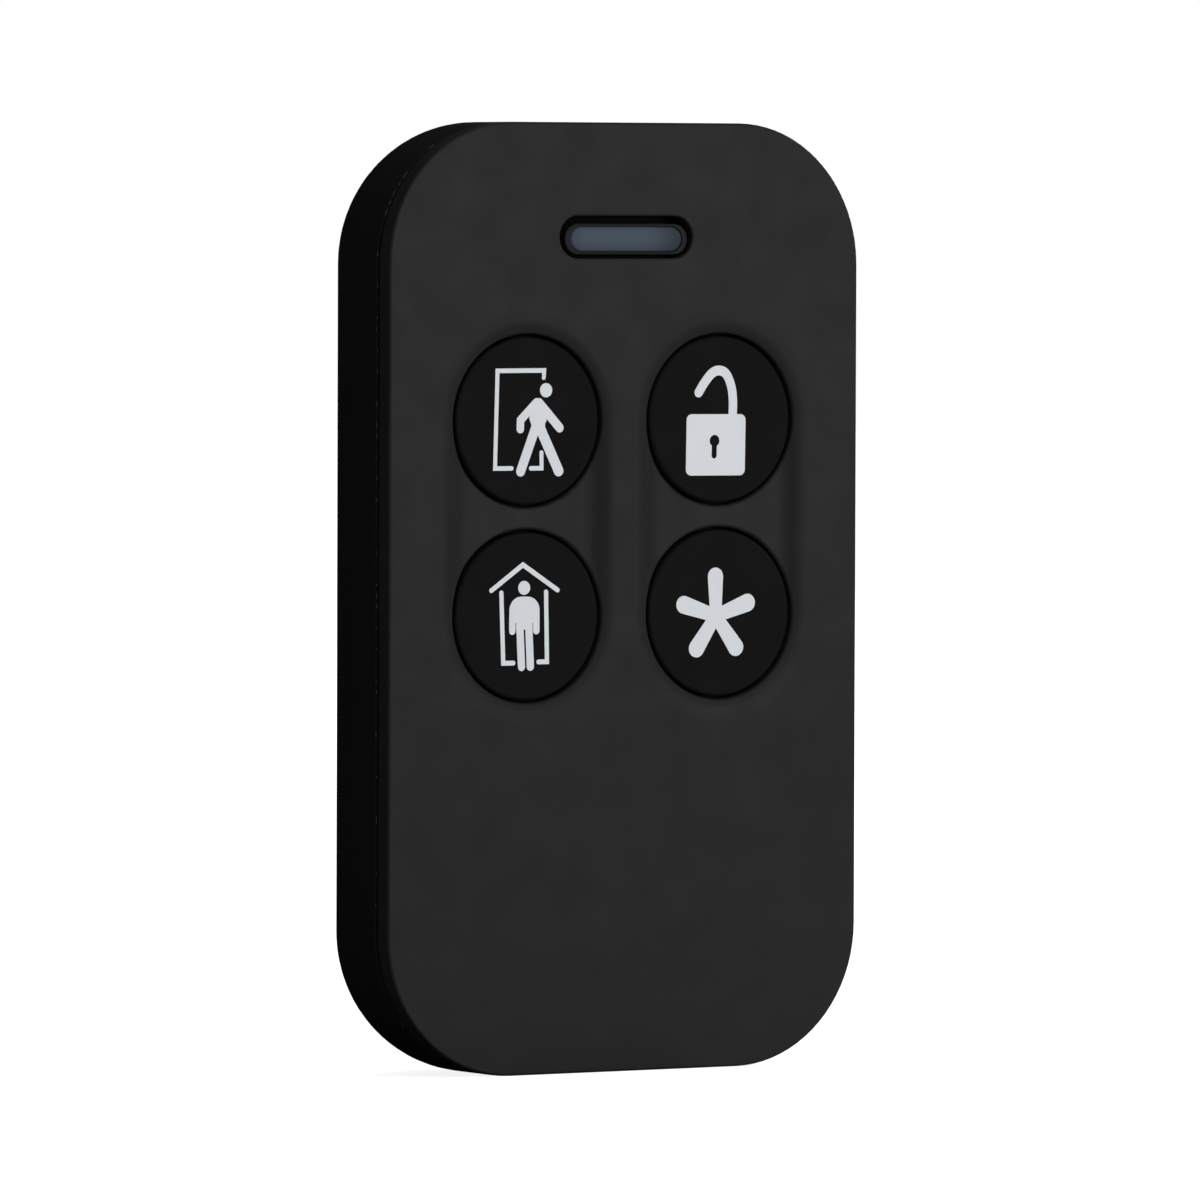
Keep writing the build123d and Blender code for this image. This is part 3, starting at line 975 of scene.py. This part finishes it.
    def piece(self, name: str, seat: Seat, material: Material) -> Object:
        """Makes the star on its key.

        Args:
            name: Its name.
            seat: Where it lies.
            material: The ink.

        Returns:
            The star's object.
        """
        x, z = seat.centre
        values = {
            "Petals": self.petals,
            "Points each": self.points_each,
            "Reach": self.reach * MM,
            "End radius": self.end_radius * MM,
            "Notch radius": self.notch_radius * MM,
            "Thickness": (seat.back - seat.front) * MM,
            "Centre": Vector((x + self.offset[0], seat.back, z + self.offset[1])) * MM,
            FINISH_INPUT: material,
        }
        return grow(name, self.tree(values), values)


@dataclass
class Keypad:
    """The prints of the four keys.

    Attributes:
        ink_height: How far the ink stands proud of the key.
        ink_bite: How far its underside lies in the key.
        star: Layout of the last print.
    """

    ink_height: float = 0.015
    ink_bite: float = 0.02
    star: Asterisk = field(default_factory=Asterisk)

    def build(self) -> None:
        """Makes the prints and puts each on its key."""
        ink = INK.build()
        drawings = {Key.AWAY: LEAVING, Key.DISARM: OPEN_PADLOCK, Key.HOME: STAYING}
        for key in Key:
            low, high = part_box(key.node)
            middle = (low + high) / (2 * MM)
            face = low.y / MM
            seat = Seat((middle.x, middle.z), face - self.ink_height, face + self.ink_bite)
            name = "print_" + key.value
            if key in drawings:
                piece = new_object(name, drawings[key].mesh(name, seat))
            else:
                piece = self.star.piece(name, seat, ink)
            place_piece(piece, key.node, ink)


@dataclass
class Shell:
    """What the looks add to the cover and the case: the torn flash in the seam and the bare label.

    Attributes:
        corner_radius: Radius of the fob's outline.
        flash_count: Number of specks along the seam.
        flash_share: How many of those places hold a speck.
        flash_length: Longest speck.
        flash_height: Thickness of the thickest speck.
        least_shares: Thickness, twice, and length of the smallest speck, as shares of the largest.
        flash_inset: How far the specks lie in from the outline.
        flash_depth: How far their middles lie behind the lip of the case.
        flash_spread: How far they stray from that.
        corner_steps: Steps of their path round a corner.
        seed: Seed of the random draws.
        label_size: Width and height of the film.
        label_radius: Radius of its corners.
        label_thickness: Thickness of the film.
        label_z: Height of its middle above the middle of the fob.
        label_floor: Depth of the recess that holds it.
    """

    corner_radius: float = 8.75
    flash_count: int = 260
    flash_share: float = 0.4
    flash_length: float = 0.6
    flash_height: float = 0.13
    least_shares: Triple = (0.5, 0.5, 0.25)
    flash_inset: float = 0.07
    flash_depth: float = 0.035
    flash_spread: float = 0.055
    corner_steps: int = 16
    seed: int = 7
    label_size: Point = (16.4, 20.4)
    label_radius: float = 1.3
    label_thickness: float = 0.12
    label_z: float = 5.35
    label_floor: float = 0.2

    def flash_tree(self, values: dict[str, Any]) -> NodeTree:
        """Builds the geometry tree that scatters specks round the seam.

        Args:
            values: What each of its inputs will be given.

        Returns:
            The tree.
        """
        tree, entry = open_tree("seam_flash", values)
        sizes = entry.outputs
        seed, thickness = sizes["Seed"], sizes["Thickness"]
        oblong = {"Width": sizes["Width"], "Height": sizes["Height"]}
        outline = add_node(tree, "GeometryNodeCurvePrimitiveQuadrilateral", oblong)
        corners = {"Curve": outline, "Count": self.corner_steps, "Radius": sizes["Corner"]}
        rounded = add_node(tree, "GeometryNodeFilletCurve", corners, mode="POLY")
        upright = add_node(tree, "GeometryNodeTransform", {"Geometry": rounded, "Rotation": UPRIGHT})
        spots = add_node(tree, "GeometryNodeCurveToPoints", {"Curve": upright, "Count": sizes["Count"]})
        # Whether a place holds a speck, how large it is and how far it strays are drawn at random.
        odds = {"Probability": sizes["Share"], "Seed": seed}
        chosen = add_node(tree, "FunctionNodeRandomValue", odds, data_type="BOOLEAN").outputs[3]
        limits = {0: self.least_shares, 1: (1.0, 1.0, 1.0), "Seed": seed}
        size = add_node(tree, "FunctionNodeRandomValue", limits, data_type="FLOAT_VECTOR")
        largest = add_node(
            tree, "ShaderNodeCombineXYZ", {"X": thickness, "Y": thickness, "Z": sizes["Length"]}
        )
        scale = add_node(tree, "ShaderNodeVectorMath", {0: size, 1: largest}, operation="MULTIPLY")
        spread = add_node(tree, "ShaderNodeCombineXYZ", {"Y": sizes["Spread"]})
        other_way = add_node(tree, "ShaderNodeVectorMath", {0: spread, 3: -1.0}, operation="SCALE")
        limits = {0: other_way, 1: spread, "Seed": seed}
        stray = add_node(tree, "FunctionNodeRandomValue", limits, data_type="FLOAT_VECTOR")
        strayed = add_node(tree, "GeometryNodeSetPosition", {"Geometry": spots, "Offset": stray})
        # A ball one unit across, which the scale makes a speck.
        speck = add_node(tree, "GeometryNodeMeshIcoSphere", {"Radius": 0.5, "Subdivisions": 2})
        copies = {
            "Points": strayed,
            "Selection": chosen,
            "Instance": speck,
            "Rotation": spots.outputs["Rotation"],
            "Scale": scale,
        }
        specks = add_node(tree, "GeometryNodeInstanceOnPoints", copies)
        sunk = add_node(tree, "ShaderNodeCombineXYZ", {"Y": sizes["Depth"]})
        moved = add_node(tree, "GeometryNodeTransform", {"Geometry": specks, "Translation": sunk})
        close_tree(tree, entry, moved)
        return tree

    def build(self) -> None:
        """Makes the flash along the seam, and the label."""
        low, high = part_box("front_cover")
        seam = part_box("rear_case")[0].y
        inset = self.flash_inset * MM
        # The flash's lighter grey is partly a painted highlight: the glints along the seam.
        torn = FLASH_WITH_PAINTED_GLINT.build()
        values = {
            "Width": high.x - low.x - 2 * inset,
            "Height": high.z - low.z - 2 * inset,
            "Corner": self.corner_radius * MM - inset,
            "Count": self.flash_count,
            "Share": self.flash_share,
            "Length": self.flash_length * MM,
            "Thickness": self.flash_height * MM,
            "Depth": seam + self.flash_depth * MM,
            "Spread": self.flash_spread * MM,
            "Seed": self.seed,
            FINISH_INPUT: torn,
        }
        place_piece(grow("seam_flash", self.flash_tree(values), values), FOB, torn)
        self.label()

    def label(self) -> None:
        """Makes the bare film in the recess of the back."""
        x, z = self.label_size[0] / 2, self.label_size[1] / 2
        film = Pictogram((Patch(((-x, -z), (x, -z), (x, z), (-x, z)), self.label_radius),))
        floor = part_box("rear_case")[1].y / MM - self.label_floor
        mesh = film.mesh("label_film", Seat((0.0, self.label_z), floor, floor + self.label_thickness))
        place_piece(new_object("label_film", mesh), FOB, LABEL_FILM.build())


@dataclass(frozen=True)
class Softbox:
    """One square soft lamp that faces the fob.

    Attributes:
        name: Its name.
        place: Where it stands, in millimetres.
        side: Its side, in millimetres.
        power: Its power in watts.
    """

    name: str
    place: Triple
    side: float
    power: float

    def build(self) -> None:
        """Makes the lamp."""
        light = bpy.data.lights.new(self.name, "AREA")
        light.size = self.side * MM
        light.energy = self.power
        lamp = new_object(self.name, light)
        lamp.location = Vector(self.place) * MM
        lamp.rotation_euler = (-lamp.location).to_track_quat("-Z", "Y").to_euler()


@dataclass
class Studio:
    """The floor, the soft lamps, the white surround and the camera.

    Attributes:
        azimuth: Where the camera stands round the fob, in degrees.
        elevation: Its height above the horizon, in degrees.
        roll: Its turn about its own axis, in degrees.
        distance: From the camera to its target.
        target: What it looks at.
        lens: Its focal length.
        sensor: Width of its sensor.
        view: How near and how far it sees.
        floor_radius: Radius of the round floor.
        floor_sides: Number of its sides.
        ambient: Light that comes from all round, where 1 would be white.
        paper: Colour of the floor's paper.
        paper_glow: How far the paper near the fob is lifted towards white for the eye.
        paper_fade: Between which distances from the fob that lift grows to full white.
        velvet: Colour of the bent black card.
        flag_radius: Radius of its bend.
        flag_height: Its height.
        flag_span: First and last direction that it covers, in degrees from the right.
        flag_steps: Number of its flat strips.
        flag_foot: Where its part on the floor comes to a point, in front of the fob.
        flag_clearance: Its height above the floor.
        lamps: The soft lamps.
    """

    azimuth: float = -31.747
    elevation: float = 1.972
    roll: float = 0.182
    distance: float = 716.15
    target: Triple = (-1.853, -5.5, -0.124)
    lens: float = 347.9
    sensor: float = 36.0
    view: Point = (10.0, 10000.0)
    floor_radius: float = 2000.0
    floor_sides: int = 64
    ambient: float = 0.22
    paper: str = "#a8a8a8"
    paper_glow: float = 0.87
    paper_fade: Point = (100.0, 400.0)
    velvet: str = "#050505"
    flag_radius: float = 350.0
    flag_height: float = 500.0
    flag_span: Point = (40.0, 150.0)
    flag_steps: int = 32
    flag_foot: Point = (-6.0, -16.0)
    flag_clearance: float = 0.05
    lamps: tuple[Softbox, ...] = (
        Softbox("front_right", (304.0, -517.0, 30.0), 180.0, 1.6),
        Softbox("front_left", (-430.0, -640.0, 480.0), 600.0, 1.2),
        Softbox("front_high", (100.0, -700.0, 500.0), 600.0, 2.2),
        Softbox("back_right", (660.0, 390.0, 190.0), 250.0, 5.8),
    )

    def build(self) -> None:
        """Makes the whole studio."""
        self.surround()
        self.floor()
        self.flag()
        for lamp in self.lamps:
            lamp.build()
        self.camera()
        bpy.context.scene.view_settings.view_transform = "Standard"

    @staticmethod
    def shown(tree: NodeTree) -> Node:
        """Gives 1 for rays from the eye, a reflection or a clear piece, and 0 for light on a surface.

        Args:
            tree: The tree that gets the nodes.

        Returns:
            The node that gives it.
        """
        ray = add_node(tree, "ShaderNodeLightPath").outputs
        seen = ray["Is Camera Ray"]
        for kind in ("Is Glossy Ray", "Is Transmission Ray"):
            seen = add_node(tree, "ShaderNodeMath", {0: seen, 1: ray[kind]}, operation="MAXIMUM")
        return seen

    def surround(self) -> None:
        """Makes the world: white to the eye and to reflections, and a soft light on the object."""
        world = bpy.data.worlds.new("surround")
        bpy.context.scene.world = world
        tree = empty_tree(world)
        strength = add_node(tree, "ShaderNodeMapRange", {0: self.shown(tree), 3: self.ambient, 4: 1.0})
        light = add_node(tree, "ShaderNodeBackground", {"Color": linear("#ffffff"), "Strength": strength})
        add_node(tree, "ShaderNodeOutputWorld", {"Surface": light})

    def floor(self) -> None:
        """Makes the round pale floor, white to the eye wherever no shadow falls."""
        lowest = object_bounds()[0].z
        ring = arc((0.0, 0.0), self.floor_radius * MM, 0, 360, self.floor_sides)[:-1]
        mesh = bpy.data.meshes.new("floor")
        mesh.from_pydata([(x, y, lowest) for x, y in ring], [], [list(range(len(ring)))])
        floor = new_object("floor", mesh)
        material = bpy.data.materials.new("paper_white_seamless")
        tree = empty_tree(material)
        paper = add_node(tree, "ShaderNodeBsdfDiffuse", {"Color": linear(self.paper)})
        place = add_node(tree, "ShaderNodeTexCoord").outputs["Object"]
        distance = add_node(tree, "ShaderNodeVectorMath", {0: place}, operation="LENGTH").outputs["Value"]
        near, far = (reach * MM for reach in self.paper_fade)
        ranges = {0: distance, 1: near, 2: far, 3: self.paper_glow, 4: 1.0}
        rise = add_node(tree, "ShaderNodeMapRange", ranges)
        lift = add_node(tree, "ShaderNodeMath", {0: self.shown(tree), 1: rise}, operation="MULTIPLY")
        glow = add_node(tree, "ShaderNodeEmission", {"Strength": lift})
        both = add_node(tree, "ShaderNodeAddShader", {0: paper, 1: glow})
        add_node(tree, "ShaderNodeOutputMaterial", {"Surface": both})
        mesh.materials.append(material)
        floor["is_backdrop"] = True

    def flag(self) -> None:
        """Makes the bent black card that only reflections see, so the black side keeps its depth."""
        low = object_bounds()[0].z + self.flag_clearance * MM
        bend = arc((0.0, 0.0), self.flag_radius * MM, *self.flag_span, self.flag_steps)
        count = len(bend)
        points = [(x, y, low) for x, y in bend]
        points += [(x, y, low + self.flag_height * MM) for x, y in bend]
        points.append((*(Vector(self.flag_foot) * MM), low))
        faces = [[2 * count, place, place + 1] for place in range(count - 1)]
        faces += [[place + 1, place, place + count, place + 1 + count] for place in range(count - 1)]
        mesh = bpy.data.meshes.new("black_flag")
        mesh.from_pydata(points, [], faces)
        card = new_object("black_flag", mesh)
        for ray in ("camera", "diffuse", "transmission", "shadow"):
            setattr(card, "visible_" + ray, False)
        material = bpy.data.materials.new("black_velvet")
        tree = empty_tree(material)
        cloth = add_node(tree, "ShaderNodeBsdfDiffuse", {"Color": linear(self.velvet)})
        add_node(tree, "ShaderNodeOutputMaterial", {"Surface": cloth})
        mesh.materials.append(material)
        card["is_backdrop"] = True

    def camera(self) -> None:
        """Makes the camera at the photograph's viewing angle."""
        data = bpy.data.cameras.new("camera")
        data.lens = self.lens
        data.sensor_width = self.sensor
        data.clip_start, data.clip_end = (reach * MM for reach in self.view)
        camera = new_object("camera", data)
        around, above = math.radians(self.azimuth), math.radians(self.elevation)
        back = Vector(
            (math.sin(around) * math.cos(above), -math.cos(around) * math.cos(above), math.sin(above))
        )
        camera.location = (Vector(self.target) + back * self.distance) * MM
        turn = (-back).to_track_quat("-Z", "Y").to_matrix().to_4x4()
        camera.rotation_euler = (turn @ Matrix.Rotation(math.radians(self.roll), 4, "Z")).to_euler()
        bpy.context.scene.camera = camera


@dataclass
class Fob:
    """The whole fob: the frame's nodes in their finishes, and what the looks add."""

    shell: Shell = field(default_factory=Shell)
    keypad: Keypad = field(default_factory=Keypad)

    def dress(self) -> None:
        """Gives every node of the frame its finish."""
        made = {slot: finish.build() for slot, finish in FINISHES.items()}
        for row in frame["record"]["subparts"]:
            node = frame["nodes"][row["node"]]
            material = made[row["material_slot"]]
            for place in node.material_slots:
                place.material = material
            log.info("%s is dressed in %s", node.name, material.name)

    def build(self) -> None:
        """Dresses the frame and adds the pieces of the looks."""
        self.dress()
        self.shell.build()
        self.keypad.build()


def main() -> None:
    """Builds the fob and its studio."""
    logging.basicConfig(level=logging.INFO, format="%(message)s")
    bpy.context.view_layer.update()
    Fob().build()
    Studio().build()


if __name__ == "__main__":
    main()
